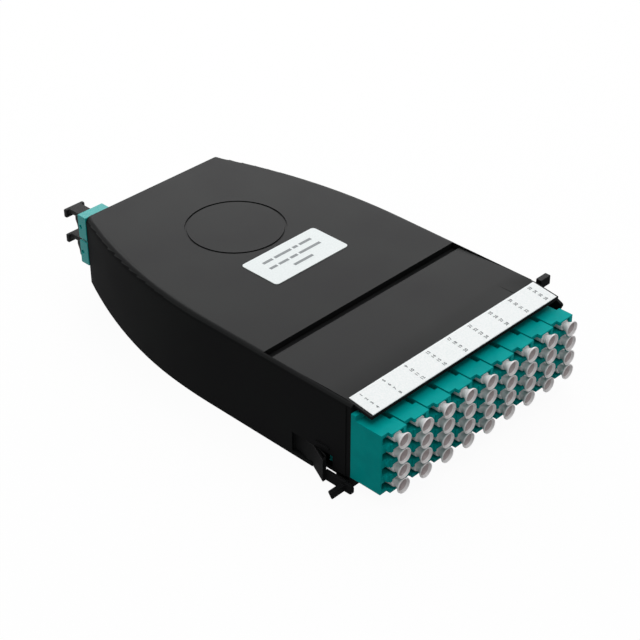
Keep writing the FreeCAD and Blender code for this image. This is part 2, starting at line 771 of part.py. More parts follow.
def make_left_latch():
    """Low on the left: a foot below the wing, a wedge-shaped ear and a short finger tab."""
    body = new_body("latch_left")
    latch_leaf(body, -1, S["left_bar_reach"])
    bar_out = half_width + S["left_bar_reach"]
    bar_in = bar_out - S["leaf_wall"]
    end, tip, front = S["leaf_end"], S["wing_tip"], -S["left_bar_front"]
    floor = S["floor_margin"]
    join = S["slot_wall"] / 2
    foot = [(leaf_outer, end), (half_width + S["wing_reach"], tip), (bar_out, tip),
            (bar_in, tip + S["slot_wall"]), (leaf_inner, end)]
    extrude(body, "wing_foot", "XY_Plane", floor, leaf_low[-1] + join, lambda s: polygon(s, sided(-1, foot)))
    extrude(body, "bar", "XY_Plane", floor, floor + S["bar_height"],
            lambda s: rectangle(s, -bar_out, -bar_in, front, tip + join))
    ear = [(front, floor), (front + S["left_ear_toe"], floor),
           (S["left_ear_back"], S["left_ear_top"] - S["left_ear_heel"]),
           (S["left_ear_back"], S["left_ear_top"]), (front, S["left_ear_top"])]
    extrude(body, "ear", "YZ_Plane", -half_width - S["left_ear_reach"], -bar_in, lambda s: polygon(s, ear))
    nose = front - S["tab_reach"]
    extrude(body, "tab", "YZ_Plane", -bar_out, -bar_in,
            lambda s: rectangle(s, nose, front + join, floor, floor + S["tab_height"]))
    round_edges(body, "tab_nose", S["tab_round"],
                lambda edge: lies_at(edge, y=nose) and edge.BoundBox.XLength > join.value)
    return body


def make_right_latch():
    """High on the right: a post up to a square ear, and a long pad beside the adapters."""
    body = new_body("latch_right")
    latch_leaf(body, 1, S["right_bar_reach"])
    bar_out = half_width + S["right_bar_reach"]
    bar_in = bar_out - S["leaf_wall"]
    top, front, back = housing_height, -S["right_bar_front"], S["right_ear_back"]
    ear_low = top - S["right_ear_height"]
    ear_end = half_width + S["right_ear_reach"]
    join = S["slot_wall"] / 2
    extrude(body, "bar", "XY_Plane", leaf_low[1], leaf_top[1],
            lambda s: rectangle(s, bar_in, bar_out, front, S["wing_tip"] + join))
    extrude(body, "ear_post", "XY_Plane", leaf_top[1] - join, ear_low + join,
            lambda s: rectangle(s, bar_in, bar_out, front, back))
    extrude(body, "ear", "XY_Plane", ear_low, top, lambda s: rectangle(s, bar_in, ear_end, front, back))
    round_edges(body, "ear_corners", S["right_ear_round"], lambda edge: lies_at(edge, x=ear_end))
    pad = [(front + join, top - S["pad_foot_drop"]), (-S["pad_chin_reach"], top - S["pad_chin_drop"]),
           (-S["pad_reach"], top - S["pad_nose_drop"]), (-S["pad_brow_reach"], top - S["pad_brow_drop"]),
           (front + join, top - S["pad_brow_drop"])]
    extrude(body, "pad", "YZ_Plane", bar_in, bar_out, lambda s: polygon(s, pad))

    def pad_corner(edge):
        along_x = edge.BoundBox.YLength + edge.BoundBox.ZLength < S["fit_gap"].value
        return along_x and edge.BoundBox.YMax < -S["right_bar_front"].value - S["tab_reach"].value

    round_edges(body, "pad_corners", S["pad_round"], pad_corner)
    return body


# ---- front adapters ----

def make_lc_adapter(column):
    body = new_body(f"lc_adapter_{column + 1}")
    low, top = mid_height - adapter_half, adapter_top
    shoulder = -S["bezel_depth"] - S["fit_gap"]
    half_port = S["port_width"] / 2
    half_channel = S["channel_height"] / 2
    z = first_row
    extrude(body, "front_block", "XZ_Plane", -S["adapter_front"], shoulder,
            lambda s: rectangle(s, -S["latch_side"], adapter_right, low, top))
    extrude(body, "rear_block", "XZ_Plane", shoulder, S["adapter_back"],
            lambda s: rectangle(s, S["adapter_inset"] - S["latch_side"], adapter_right, low, top))
    # A collar below the front cover's ledge stops the adapter against the housing's front face.
    extrude(body, "collar", "XZ_Plane", shoulder - S["collar_depth"], shoulder,
            lambda s: rectangle(s, -S["latch_side"], adapter_right, top - S["fit_gap"],
                                top + S["collar_rise"]))
    extrude(body, "nose", "XZ_Plane", -nose_front, -S["adapter_front"],
            lambda s: rectangle(s, -S["nose_left"], adapter_right, low, top))
    # Rounded lobes stand between one port's latch channel and the next.
    lobe = extrude(body, "lobe", "XZ_Plane", -S["adapter_front"] - S["lobe_length"],
                   S["run_gap"] - S["adapter_front"],
                   lambda s: circle(s, -S["nose_left"], z - S["port_pitch"] / 2, S["lobe_radius"]))
    repeat(body, "lobes", [lobe], "Z_Axis", S["port_pitch"], S["row_count"] - 1)
    port = extrude(body, "port", "XZ_Plane", -nose_front, -partition_front,
                   lambda s: rectangle(s, -half_port, half_port, z - half_port, z + half_port), cut=True)
    channel = extrude(body, "channel", "XZ_Plane", -nose_front, S["channel_depth"] - nose_front,
                      lambda s: rectangle(s, -half_port - S["channel_width"], S["fit_gap"] - half_port,
                                          z - half_channel, z + half_channel), cut=True)
    rear_port = extrude(body, "rear_port", "XZ_Plane", -partition_back, S["adapter_back"],
                        lambda s: rectangle(s, -half_port, half_port, z - half_port, z + half_port), cut=True)
    bore = extrude(body, "bore", "XZ_Plane", -partition_front, -partition_back,
                   lambda s: circle(s, 0, z, S["sleeve_radius"] + S["sleeve_gap"]), cut=True)
    repeat(body, "ports", [port, channel, rear_port, bore], "Z_Axis", S["port_pitch"], S["row_count"])
    notch_back = S["notch_length"] + S["notch_front"] - S["adapter_front"]
    extrude(body, "side_notch", "XZ_Plane", S["notch_front"] - S["adapter_front"], notch_back,
            lambda s: rectangle(s, adapter_right - S["notch_width"], adapter_right + overshoot,
                                top - S["notch_height"], top + overshoot), cut=True)
    body.setExpression("Placement.Base.x", column_x(column).text)
    return body


def make_dust_cap(column, row):
    """A turned shape: plug, neck, flared cup and thin rim."""
    body = new_body(f"dust_cap_{column + 1}_{row + 1}")
    rim = (S["port_pitch"] - S["cap_gap"]) / 2
    plug = S["port_width"] / 2 - S["run_gap"]
    front = -nose_front - S["cap_reach"]
    tip = -partition_front - S["cap_tip"]
    mouth = -nose_front + S["cap_wall"]
    profile = [(size(0), tip), (plug, tip), (plug, mouth), (S["cap_neck"], mouth),
               (S["cap_neck"], mouth - S["cap_wall"] * 2), (rim, front + S["cap_rim"]), (rim, front),
               (rim - S["cap_wall"], front), (S["cap_neck"] - S["cap_wall"], front + S["cap_dish"]),
               (size(0), front + S["cap_dish"])]
    sketch = new_sketch(body, "cap_profile", "XY_Plane", 0)
    polygon(sketch, profile)
    turned = body.newObject("PartDesign::Revolution", "cap_turned")
    turned.Profile = sketch
    turned.ReferenceAxis = (sketch, ["V_Axis"])
    turned.Angle = 360
    body.setExpression("Placement.Base.x", column_x(column).text)
    body.setExpression("Placement.Base.z", row_z(row).text)
    return body


# ---- rear adapters ----

def make_mpo_adapter(label, centre_z):
    body = new_body(label)
    wall_face = S["housing_depth"]
    rear = wall_face + S["mpo_flange"]
    half_x, half_z = S["mpo_width"] / 2, S["mpo_height"] / 2
    port_x, port_z = S["mpo_port_width"] / 2, S["mpo_port_height"] / 2
    extrude(body, "flange", "XZ_Plane", wall_face, rear,
            lambda s: rectangle(s, -half_x, half_x, -half_z, half_z))
    extrude(body, "neck", "XZ_Plane", wall_face - S["mpo_neck"], wall_face,
            lambda s: rectangle(s, -mpo_neck_half, mpo_neck_half, -mpo_neck_rise, mpo_neck_rise))
    extrude(body, "passage", "XZ_Plane", wall_face - S["mpo_neck"], rear,
            lambda s: rectangle(s, -port_x, port_x, -port_z, port_z), cut=True)
    extrude(body, "side_mark", "YZ_Plane", -half_x, S["mpo_wall"] - half_x,
            lambda s: circle(s, rear - S["mpo_mark_inset"], 0, S["mpo_mark"]), cut=True)
    body.setExpression("Placement.Base.x", mpo_x.text)
    body.setExpression("Placement.Base.z", centre_z.text)
    return body


def make_mpo_cap(label, centre_z):
    """Dust cap with a thin waist and a pull bar across its end."""
    body = new_body(label)
    face = S["housing_depth"] + S["mpo_flange"]
    start = face + S["fit_gap"]
    flange = start + S["mpo_cap_flange"]
    bar_back = flange + S["mpo_cap_reach"]
    bar_front = bar_back - S["mpo_bar_depth"]
    top = S["mpo_port_height"] / 2
    bar_top = top - S["mpo_wall"]
    waist = bar_top - S["mpo_bar_height"] / 2
    lip = S["mpo_cap_lip"]
    half = S["mpo_cap_width"] / 2
    root_back = flange + S["mpo_cap_root"]
    bar_low = bar_top - S["mpo_bar_height"]
    profile = [(start, top), (start, -lip), (flange, S["mpo_wall"] / 2 - lip),
               (flange + S["mpo_cap_step"], -lip / 3), (root_back, waist), (bar_front, waist),
               (bar_front, bar_low), (bar_back, bar_low), (bar_back, bar_top), (flange, bar_top)]
    extrude(body, "cap_side", "YZ_Plane", -half, half, lambda s: polygon(s, profile))
    half_waist = S["mpo_cap_waist"] / 2
    for name, x0, x1 in (("left", -half - overshoot, -half_waist), ("right", half_waist, half + overshoot)):
        extrude(body, f"waist_{name}", "YZ_Plane", x0, x1,
                lambda s: rectangle(s, root_back, bar_front, -lip, top + overshoot), cut=True)
    plug_x = S["mpo_port_width"] / 2 - S["run_gap"]
    plug_z = S["mpo_port_height"] / 2 - S["run_gap"]
    extrude(body, "cap_plug", "XZ_Plane", face - S["mpo_cap_plug"], start,
            lambda s: rectangle(s, -plug_x, plug_x, -plug_z, plug_z))
    body.setExpression("Placement.Base.x", mpo_x.text)
    body.setExpression("Placement.Base.z", centre_z.text)
    return body


# ---- pieces inside: groups of like solids, copied from one shape with Part's own functions ----

def shape_node(label, shape):
    node = doc.addObject("Part::Feature", label)
    node.Label = label
    node.Shape = shape
    return node


def port_copies(shape):
    copies = []
    for column in range(columns):
        for row in range(rows):
            copies.append(shape.translated(Vector(column_x(column).value, 0, row_z(row).value)))
    return Part.makeCompound(copies)


def make_alignment_sleeves():
    """Ceramic sleeves that line up each pair of ferrules."""
    length = S["barrel_length"].value + 2 * S["sleeve_stand"].value
    start = Vector(0, -partition_front.value - S["sleeve_stand"].value, 0)
    outside = Part.makeCylinder(S["sleeve_radius"].value, length, start, Vector(0, 1, 0))
    inside = Part.makeCylinder(S["sleeve_bore"].value, length, start, Vector(0, 1, 0))
    return shape_node("alignment_sleeves", port_copies(outside.cut(inside)))


def square_ring(y, half):
    """An upright square across the Y axis."""
    corners = [Vector(-half, y, -half), Vector(half, y, -half), Vector(half, y, half), Vector(-half, y, half)]
    return Part.makePolygon([*corners, corners[0]])


def make_inner_lc_plugs():
    side = S["port_width"].value - 2 * S["fit_gap"].value
    corner = Vector(-side / 2, -plug_front.value, -side / 2)
    housing = Part.makeBox(side, S["plug_length"].value, side, corner)
    wide_end = square_ring(plug_back.value, S["boot_radius"].value)
    narrow_end = square_ring(boot_back.value, S["fibre_radius"].value)
    boot = Part.makeLoft([wide_end, narrow_end], True, True)
    return shape_node("inner_lc_plugs", port_copies(housing.fuse(boot)))


def mpo_plug_back():
    return S["housing_depth"] - S["mpo_neck"] / 2 - S["mpo_plug_length"]


def make_inner_mpo_plugs():
    width = S["mpo_port_width"].value - 2 * S["fit_gap"].value
    height = S["mpo_port_height"].value - 2 * S["fit_gap"].value
    plugs = []
    for centre in (mpo_upper, mpo_lower):
        back = mpo_plug_back().value
        corner = Vector(mpo_x.value - width / 2, back, centre.value - height / 2)
        housing = Part.makeBox(width, S["mpo_plug_length"].value, height, corner)
        boot = Part.makeCone(S["mpo_boot_radius"].value, S["feeder_radius"].value,
                             S["mpo_boot_length"].value, Vector(mpo_x.value, back, centre.value),
                             Vector(0, -1, 0))
        plugs.append(housing.fuse(boot))
    return shape_node("inner_mpo_plugs", Part.makeCompound(plugs))


bend_share = 0.45  # how much of the shorter run beside a corner its bend takes up


def run_along(points, radius, square=False):
    """A round or square solid along straight runs joined by tangent arcs."""
    points = [Vector(*point) for point in points]
    edges = []
    start = points[0]
    for before, corner, after in zip(points, points[1:], points[2:]):
        run_in, run_out = corner - before, after - corner
        turn = run_in.getAngle(run_out)
        inward, outward = Vector(run_in).normalize(), Vector(run_out).normalize()
        cut_back = bend_share * min(run_in.Length, run_out.Length)
        arc_start, arc_end = corner - inward * cut_back, corner + outward * cut_back
        radius_here = cut_back / math.tan(turn / 2)
        to_centre = (outward - inward).normalize()
        centre = corner + to_centre * (radius_here / math.cos(turn / 2))
        middle = centre - to_centre * radius_here
        edges.append(Part.LineSegment(start, arc_start).toShape())
        edges.append(Part.Arc(arc_start, middle, arc_end).toShape())
        start = arc_end
    edges.append(Part.LineSegment(start, points[-1]).toShape())
    path = Part.Wire(edges)
    direction = (points[1] - points[0]).normalize()
    if square:
        across = direction.cross(Vector(0, 0, 1)).normalize() * radius
        up = across.cross(direction)
        corners = [points[0] + offset for offset in (across + up, up - across, -across - up, across - up)]
        ring = Part.makePolygon([*corners, corners[0]])
        section = 4 * radius * radius
    else:
        ring = Part.Wire(Part.Circle(points[0], direction, radius).toShape())
        section = math.pi * radius * radius
    solid = path.makePipeShell([ring], True, False)
    expected = section * path.Length
    if not solid.isValid() or abs(solid.Volume / expected - 1) > 0.01:
        raise RuntimeError(f"run of volume {solid.Volume:.1f}, expected {expected:.1f}")
    return solid


def feeder_routes(back, middle, width):
    """Both feeders run forward beside the drum and turn in to the rear of the furcation block."""
    start = mpo_plug_back().value - S["mpo_boot_length"].value
    bend = start - S["feeder_straight"].value
    entry = back + S["feeder_entry"].value
    radius, spacing = S["feeder_radius"].value, S["feeder_spacing"].value
    routes = []
    for centre, place in ((mpo_upper, 0), (mpo_lower, 1)):
        x = place * spacing - (width / 2 - radius - S["run_gap"].value)
        z = middle + (0.5 - place) * spacing
        routes.append([(mpo_x.value, start, centre.value), (mpo_x.value, bend, centre.value),
                       (x, entry, z), (x, back, z)])
    return routes


def make_fibre_fanout():
    """Two feeders from the rear plugs, a furcation block, and one bundle to the comb behind each column."""
    front = S["block_front"].value
    back = front + S["block_depth"].value
    middle = mid_height.value
    width = (columns - 1) * S["outlet_pitch"].value + 2 * S["block_margin"].value
    height = S["block_height"].value
    corner = Vector(-width / 2, front, middle - height / 2)
    solids = [Part.makeBox(width, S["block_depth"].value, height, corner)]
    solids += [run_along(route, S["feeder_radius"].value) for route in feeder_routes(back, middle, width)]
    radius = S["fibre_radius"].value
    comb_width, comb_depth = S["comb_width"].value, S["comb_depth"].value
    comb_front = boot_back.value
    comb_back = comb_front + comb_depth
    comb_half = first_row.value - middle + radius + S["run_gap"].value
    for column in range(columns):
        x = column_x(column).value
        solids.append(Part.makeBox(comb_width, comb_depth, 2 * comb_half,
                                   Vector(x - comb_width / 2, comb_front, middle - comb_half)))
        x_out = (column - (columns - 1) / 2) * S["outlet_pitch"].value
        bend = comb_back + S["spread_run"].value
        # A slanted bundle starts a little off the face, so that its blunt end clears it.
        clear = radius * abs(x - x_out) / math.hypot(x - x_out, front - bend)
        route = [(x_out, front - clear, middle), (x, bend, middle), (x, comb_back, middle)]
        if abs(x - x_out) < radius:
            route = [(x_out, front, middle), (x, comb_back, middle)]
        solids.append(run_along(route, radius, square=True))
    return shape_node("fibre_fanout", Part.makeCompound(solids))


# ---- build, check and write ----

nodes = [make_base_tray(), make_top_cover(), make_front_cover(), make_port_label(), make_product_label(),
         make_left_latch(), make_right_latch()]
nodes += [make_lc_adapter(column) for column in range(columns)]
nodes += [make_dust_cap(column, row) for column in range(columns) for row in range(rows)]
for place, height in (("upper", mpo_upper), ("lower", mpo_lower)):
    nodes.append(make_mpo_adapter(f"mpo_adapter_{place}", height))
    nodes.append(make_mpo_cap(f"mpo_cap_{place}", height))
nodes += [make_alignment_sleeves(), make_inner_lc_plugs(), make_inner_mpo_plugs(), make_fibre_fanout()]

doc.recompute()
for item in doc.Objects:
    if "Invalid" in item.State or "Error" in item.State:
        raise RuntimeError(f"{item.Name} failed: {item.State}")
for node in nodes:
    if node.Shape.isNull() or not node.Shape.isValid() or not node.Shape.Solids:
        raise RuntimeError(f"{node.Label} has no valid solid")

os.makedirs("parts", exist_ok=True)
for node in nodes:
    node.Shape.exportStep(f"parts/{node.Label}.step")
print(f"{len(nodes)} nodes written")
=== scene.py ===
import json
import math
from itertools import combinations

import bmesh
import bpy
from mathutils import Matrix, Vector

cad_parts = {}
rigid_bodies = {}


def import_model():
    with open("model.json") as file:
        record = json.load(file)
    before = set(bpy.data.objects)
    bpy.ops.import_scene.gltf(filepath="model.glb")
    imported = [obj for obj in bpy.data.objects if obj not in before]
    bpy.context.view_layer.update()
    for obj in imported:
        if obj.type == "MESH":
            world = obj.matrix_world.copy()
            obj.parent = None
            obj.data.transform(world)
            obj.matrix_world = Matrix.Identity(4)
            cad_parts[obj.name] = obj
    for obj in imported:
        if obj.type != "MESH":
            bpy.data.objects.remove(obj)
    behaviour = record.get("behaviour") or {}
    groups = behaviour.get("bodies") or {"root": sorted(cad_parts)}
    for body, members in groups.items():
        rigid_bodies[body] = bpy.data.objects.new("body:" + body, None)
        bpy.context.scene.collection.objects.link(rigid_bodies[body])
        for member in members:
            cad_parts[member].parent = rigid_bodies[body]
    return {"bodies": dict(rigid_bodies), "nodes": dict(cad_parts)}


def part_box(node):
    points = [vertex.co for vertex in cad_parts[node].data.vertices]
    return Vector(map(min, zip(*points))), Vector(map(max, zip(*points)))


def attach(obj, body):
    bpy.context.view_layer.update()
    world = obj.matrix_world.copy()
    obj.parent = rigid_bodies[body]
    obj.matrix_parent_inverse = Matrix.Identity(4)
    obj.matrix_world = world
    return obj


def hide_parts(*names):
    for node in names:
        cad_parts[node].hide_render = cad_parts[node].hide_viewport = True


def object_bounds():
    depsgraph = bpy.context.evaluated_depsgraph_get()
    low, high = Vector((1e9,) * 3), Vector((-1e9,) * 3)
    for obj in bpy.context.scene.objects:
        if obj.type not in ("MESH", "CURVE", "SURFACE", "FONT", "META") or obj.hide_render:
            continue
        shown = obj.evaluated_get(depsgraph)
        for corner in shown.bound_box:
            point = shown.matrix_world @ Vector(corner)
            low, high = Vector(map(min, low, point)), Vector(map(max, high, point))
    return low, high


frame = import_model()
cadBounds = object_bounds()
nodes = frame["nodes"]
print("frame loaded:", len(nodes), "nodes")

mm = 0.001
columnCount, rowCount = 9, 4
mainBody = "cassette"


def hexToLinear(text):
    values = [int(text[i:i + 2], 16) / 255 for i in (1, 3, 5)]
    return [v / 12.92 if v <= 0.04045 else ((v + 0.055) / 1.055) ** 2.4 for v in values] + [1.0]


def addNode(tree, kind, settings=None, inputs=None, links=None, stops=()):
    # settings are the node's own, inputs are constants, links join a socket to (node, output),
    # and stops are the places and colours along a ramp
    node = tree.nodes.new(kind)
    for name, value in (settings or {}).items():
        setattr(node, name, value)
    for name, value in (inputs or {}).items():
        node.inputs[name].default_value = value
    for name, (source, output) in (links or {}).items():
        tree.links.new(source.outputs[output], node.inputs[name])
    for i, (place, colour) in enumerate(stops):
        node.color_ramp.elements[i].position = place
        node.color_ramp.elements[i].color = hexToLinear(colour)
    return node


def newMaterial(name):
    material = bpy.data.materials.new(name)
    material.use_nodes = True
    material.node_tree.nodes.clear()
    return material, material.node_tree


drift = (0.35, 0.65)           # the stretch of the noise over which a mottled colour changes shade


def mottledColour(tree, dull, clean, patch, detail=2.0):
    # two close shades that drift into each other, in patches of the given width
    coords = addNode(tree, "ShaderNodeTexCoord")
    patches = addNode(tree, "ShaderNodeTexNoise", inputs={"Scale": 1 / patch, "Detail": detail},
                      links={"Vector": (coords, "Object")})
    return addNode(tree, "ShaderNodeValToRGB", links={"Fac": (patches, "Fac")},
                   stops=((drift[0], dull), (drift[1], clean)))


def surfaceGrain(tree, width, depth, strength, detail=2.0):
    # shallow relief, with grains of the given width
    coords = addNode(tree, "ShaderNodeTexCoord")
    grains = addNode(tree, "ShaderNodeTexNoise", inputs={"Scale": 1 / width, "Detail": detail},
                     links={"Vector": (coords, "Object")})
    return addNode(tree, "ShaderNodeBump", inputs={"Strength": strength, "Distance": depth},
                   links={"Height": (grains, "Fac")})


housingFinish = {
    "colour": "#161717",       # carbon black ABS
    "bloom": "#19191a",        # where the mould's release left it a shade greyer
    "cloud": 22 * mm,          # width of the patches of bloom
    "cloudRange": (0.3, 0.7),  # the stretch of the noise over which the gloss changes
    "grain": 0.3 * mm,         # spark-eroded mould grain, drawn coarser than the real 0.1 mm so that it shows
    "relief": 0.5,
    "top": {"roughness": (0.38, 0.44), "grainDepth": 0.006 * mm, "specular": 0.065},
    "side": {"roughness": (0.6, 0.68), "grainDepth": 0.012 * mm, "specular": 0.015},
    "upright": 0.9,            # faces that point up more than this have the top's finer grain
    "fold": 1.1 * mm,          # and so has the upper part of a rounded edge, this far down
    "leaning": 0.2,            # where it points up more than this
    "sunk": 0.1 * mm,          # but not what lies deeper than this in the top cover
}


def mouldedBlackAbs(name, side):
    # ABS from a spark-eroded mould: near-black, with a broad soft sheen only where it faces the light
    f = housingFinish
    material, tree = newMaterial(name)
    coords = addNode(tree, "ShaderNodeTexCoord")
    cloud = addNode(tree, "ShaderNodeTexNoise", inputs={"Scale": 1 / f["cloud"], "Detail": 2.0},
                    links={"Vector": (coords, "Object")})
    tint = addNode(tree, "ShaderNodeValToRGB", links={"Fac": (cloud, "Fac")},
                   stops=((drift[0], f["colour"]), (drift[1], f["bloom"])))
    gloss = addNode(tree, "ShaderNodeMapRange",
                    inputs={"From Min": f["cloudRange"][0], "From Max": f["cloudRange"][1],
                            "To Min": f[side]["roughness"][0], "To Max": f[side]["roughness"][1]},
                    links={"Value": (cloud, "Fac")})
    grain = surfaceGrain(tree, f["grain"], f[side]["grainDepth"], f["relief"], 3.0)
    shader = addNode(tree, "ShaderNodeBsdfPrincipled",
                     inputs={"IOR": 1.53, "Specular IOR Level": f[side]["specular"]},
                     links={"Base Color": (tint, "Color"), "Roughness": (gloss, "Result"),
                            "Normal": (grain, "Normal")})
    addNode(tree, "ShaderNodeOutputMaterial", links={"Surface": (shader, 0)})
    return material


adapterFinish = {
    "colour": "#03a3a0",       # aqua for laser-optimised fibre
    "deep": "#029b99",
    "flow": 6 * mm,            # faint flow marks of the moulding
    "grain": 0.25 * mm,
    "grainDepth": 0.003 * mm,
    "relief": 0.3,
    "satin": {"Roughness": 0.34, "IOR": 1.35, "Specular IOR Level": 0.03},       # the front adapters
    "polished": {"Roughness": 0.42, "IOR": 1.55, "Specular IOR Level": 0.35},    # the rear adapters
}


def mouldedAquaPbt(name, side):
    # PBT from a smooth mould: clean aqua, with a thin bright line along each edge
    f = adapterFinish
    material, tree = newMaterial(name)
    tint = mottledColour(tree, f["deep"], f["colour"], f["flow"])
    grain = surfaceGrain(tree, f["grain"], f["grainDepth"], f["relief"])
    shader = addNode(tree, "ShaderNodeBsdfPrincipled", inputs=f[side],
                     links={"Base Color": (tint, "Color"), "Normal": (grain, "Normal")})
    addNode(tree, "ShaderNodeOutputMaterial", links={"Surface": (shader, 0)})
    return material


capFinish = {
    "colour": "#fdfbfb",
    "dim": "#cfc3c3",          # painted shade for the middle of the dish's hollow
    "haze": 1.5 * mm,          # width of the faint waves of the surface
    "hazeDepth": 0.008 * mm,
    "relief": 0.2,
    "roughness": 0.25,
    "ior": 1.51,
    "glow": 0.15,              # share of the light that scatters inside the wall
    "scatter": 0.3 * mm,       # and how far it travels there
    "clear": 0.12,             # share of the light that goes straight through
}


def naturalPolyethylene(name, colour):
    # soft natural LDPE: light scatters inside the wall, so the cap glows and hints at what is behind it
    f = capFinish
    material, tree = newMaterial(name)
    haze = surfaceGrain(tree, f["haze"], f["hazeDepth"], f["relief"])
    shader = addNode(tree, "ShaderNodeBsdfPrincipled",
                     inputs={"Base Color": hexToLinear(colour), "Roughness": f["roughness"], "IOR": f["ior"],
                             "Subsurface Weight": f["glow"], "Subsurface Radius": (1.0, 1.0, 1.0),
                             "Subsurface Scale": f["scatter"], "Transmission Weight": f["clear"]},
                     links={"Normal": (haze, "Normal")})
    addNode(tree, "ShaderNodeOutputMaterial", links={"Surface": (shader, 0)})
    return material


rubberFinish = {
    "colour": "#191919",
    "deep": "#141414",
    "patch": 5 * mm,
    "grain": 0.4 * mm,
    "grainDepth": 0.01 * mm,
    "relief": 0.4,
    "roughness": 0.55,
    "specular": 0.14,
}


def blackElastomer():
    # soft black thermoplastic rubber: dull, with a wide weak highlight
    f = rubberFinish
    material, tree = newMaterial("blackElastomer")
    tint = mottledColour(tree, f["deep"], f["colour"], f["patch"])
    grain = surfaceGrain(tree, f["grain"], f["grainDepth"], f["relief"], 3.0)
    shader = addNode(tree, "ShaderNodeBsdfPrincipled",
                     inputs={"Roughness": f["roughness"], "Specular IOR Level": f["specular"]},
                     links={"Base Color": (tint, "Color"), "Normal": (grain, "Normal")})
    addNode(tree, "ShaderNodeOutputMaterial", links={"Surface": (shader, 0)})
    return material


labelFinish = {
    "white": ("#eff4f4", "#f9fbfb"),    # the strip's shades
    "grey": ("#e2e8e8", "#ebf0f0"),     # the sticker's
    "mottle": 0.6 * mm,
    "roughness": 0.5,
    "specular": 0.2,
}


def labelStock(name, shades):
    # matt polyester label stock, faintly mottled by its coating
    f = labelFinish
    material, tree = newMaterial(name)
    tint = mottledColour(tree, *shades, f["mottle"], 4.0)
    shader = addNode(tree, "ShaderNodeBsdfPrincipled",
                     inputs={"Roughness": f["roughness"], "Specular IOR Level": f["specular"]},
                     links={"Base Color": (tint, "Color")})
    addNode(tree, "ShaderNodeOutputMaterial", links={"Surface": (shader, 0)})
    return material


inkFinish = {
    "digits": ("#5d6264", "#7c8183"),
    "dashes": ("#7b8082", "#8f9496"),
    "skip": 0.2 * mm,          # width of the spots where the ribbon skipped
    "roughness": 0.45,
    "specular": 0.2,
}


def printInk(name, shades):
    # thermal-transfer ink: flat, a little broken where the ribbon skipped
    f = inkFinish
    material, tree = newMaterial(name)
    tint = mottledColour(tree, *shades, f["skip"])
    shader = addNode(tree, "ShaderNodeBsdfPrincipled",
                     inputs={"Roughness": f["roughness"], "Specular IOR Level": f["specular"]},
                     links={"Base Color": (tint, "Color")})
    addNode(tree, "ShaderNodeOutputMaterial", links={"Surface": (shader, 0)})
    return material


sleeveFinish = {
    "colour": "#ece9e2",
    "grain": 0.2 * mm,
    "grainDepth": 0.003 * mm,
    "relief": 0.2,
    "roughness": 0.25,
    "ior": 2.1,
}


def groundZirconia():
    # zirconia sleeve, centreless ground: dense white with a soft shine
    f = sleeveFinish
    material, tree = newMaterial("groundZirconia")
    grain = surfaceGrain(tree, f["grain"], f["grainDepth"], f["relief"])
    shader = addNode(tree, "ShaderNodeBsdfPrincipled",
                     inputs={"Base Color": hexToLinear(f["colour"]), "Roughness": f["roughness"],
                             "IOR": f["ior"]},
                     links={"Normal": (grain, "Normal")})
    addNode(tree, "ShaderNodeOutputMaterial", links={"Surface": (shader, 0)})
    return material


jacketFinish = {
    "colour": "#1fb0a6",
    "deep": "#17a59b",
    "flow": 3 * mm,
    "roughness": 0.42,
    "specular": 0.3,
}


def aquaPvcJacket():
    # extruded PVC over the fibres: aqua, smooth along its length, a little waxy
    f = jacketFinish
    material, tree = newMaterial("aquaPvcJacket")
    tint = mottledColour(tree, f["deep"], f["colour"], f["flow"])
    shader = addNode(tree, "ShaderNodeBsdfPrincipled",
                     inputs={"Roughness": f["roughness"], "Specular IOR Level": f["specular"]},
                     links={"Base Color": (tint, "Color")})
    addNode(tree, "ShaderNodeOutputMaterial", links={"Surface": (shader, 0)})
    return material


fineBlackAbs = mouldedBlackAbs("fineBlackAbs", "top")
coarseBlackAbs = mouldedBlackAbs("coarseBlackAbs", "side")
satinAquaPbt = mouldedAquaPbt("satinAquaPbt", "satin")
polishedAquaPbt = mouldedAquaPbt("polishedAquaPbt", "polished")
naturalPe = naturalPolyethylene("naturalPolyethylene", capFinish["colour"])
# the cap's material in the dim colour: painted shade for the dish's hollow
dishShadePe = naturalPolyethylene("dishShadePolyethylene", capFinish["dim"])
elastomer = blackElastomer()
whiteLabelFilm = labelStock("whiteLabelFilm", labelFinish["white"])
greyLabelFilm = labelStock("greyLabelFilm", labelFinish["grey"])
digitInk = printInk("greyDigitInk", inkFinish["digits"])
printedGrey = printInk("greyPrintInk", inkFinish["dashes"])
zirconia = groundZirconia()
pvcJacket = aquaPvcJacket()
print("materials made")


def setMaterial(obj, material):
    obj.data.materials.clear()
    obj.data.materials.append(material)


# the labels and the pieces inside keep their shapes and get their finish here
keptPieces = {
    "port_label": whiteLabelFilm,
    "product_label": greyLabelFilm,
    "alignment_sleeves": zirconia,
    "inner_lc_plugs": satinAquaPbt,
    "inner_mpo_plugs": satinAquaPbt,
    "fibre_fanout": pvcJacket,
}
for node, material in keptPieces.items():
    setMaterial(nodes[node], material)


def newPiece(name, mesh, material):
    obj = bpy.data.objects.new(name, mesh)
    bpy.context.collection.objects.link(obj)
    setMaterial(obj, material)
    return obj


def standFor(obj, node):
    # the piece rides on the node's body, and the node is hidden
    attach(obj, node if node in frame["bodies"] else mainBody)
    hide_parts(node)


sideFold = {
    "start": 0.5 * mm,         # below the cover's top, where its side fold comes in fans of facets
    "end": 2.25 * mm,
    "outside": 25 * mm,        # the fold lies further than this from the middle
    "leaning": 0.05,
}


def evenFold(built):
    # the facets are laid along the fold, so that its edge runs smoothly
    f = sideFold
    top = max(corner.co.z for corner in built.verts)
    built.normal_update()
    fold = [face for face in built.faces if face.normal.z > f["leaning"]
            and all(f["start"] < top - corner.co.z < f["end"] for corner in face.verts)
            and all(abs(corner.co.x) > f["outside"] for corner in face.verts)]
    within = set(fold)
    inner = [edge for edge in built.edges
             if len(edge.link_faces) == 2 and all(face in within for face in edge.link_faces)]
    bmesh.ops.beautify_fill(built, faces=fold, edges=inner, method="ANGLE")
    built.normal_update()


